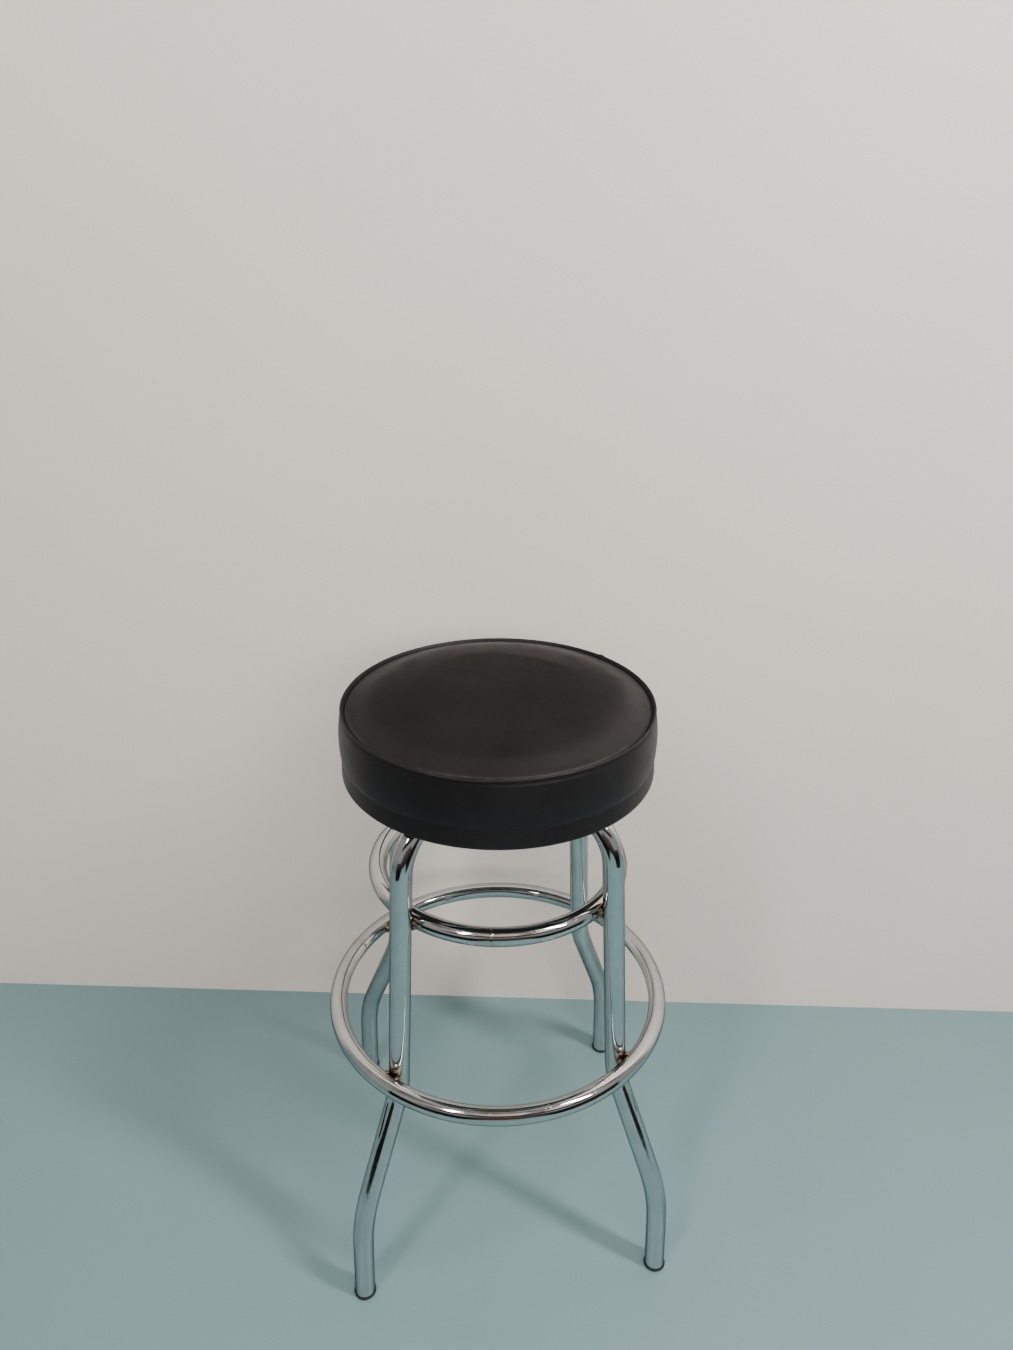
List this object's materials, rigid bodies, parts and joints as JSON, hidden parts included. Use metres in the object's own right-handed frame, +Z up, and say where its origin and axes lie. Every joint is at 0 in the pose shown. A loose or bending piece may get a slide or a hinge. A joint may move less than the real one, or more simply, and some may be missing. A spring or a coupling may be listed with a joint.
{
  "type": "bar stool with footrest",
  "caption": "Backless bar stool: round padded seat screwed onto two crossed bent-tube leg frames, with a small brace ring and a large footrest ring.",
  "frame": {"origin": "on the floor, at the centre of the four feet", "axes": "+Z up; -Y is the front, between the two front legs; +X is the sitter's right when facing +Y"},
  "size_m": [0.4462, 0.4462, 0.762],
  "materials": {
    "chrome_tube": "polished, lightly scratched and pitted",
    "weld": "chromed weld bead with a gold-brown heat tint",
    "foot_cap": "matte moulded black",
    "plywood": "raw",
    "foam": "cut foam",
    "vinyl": "black vinyl, fine grain, soft sheen",
    "dust_cloth": "thin dark cloth, wrinkled",
    "steel_wire": "galvanised staple wire",
    "screw_steel": "bright zinc"
  },
  "bodies": {
    "root": {"lower_leg_tube": "chrome_tube", "upper_leg_tube": "chrome_tube", "brace_ring": "chrome_tube", "footrest_ring": "chrome_tube", "cross_weld_beads": "weld", "brace_ring_weld_beads": "weld", "footrest_weld_beads": "weld", "brace_ring_seam_weld": "weld", "footrest_ring_seam_weld": "weld", "foot_cap_front_left": "foot_cap", "foot_cap_front_right": "foot_cap", "foot_cap_rear_left": "foot_cap", "foot_cap_rear_right": "foot_cap", "seat_board": "plywood", "foam_cushion": "foam", "seat_top_panel": "vinyl", "seat_side_band": "vinyl", "cover_staples": "steel_wire", "dust_cover": "dust_cloth", "dust_cover_staples": "steel_wire", "seat_screws": "screw_steel"}
  },
  "joints": []
}
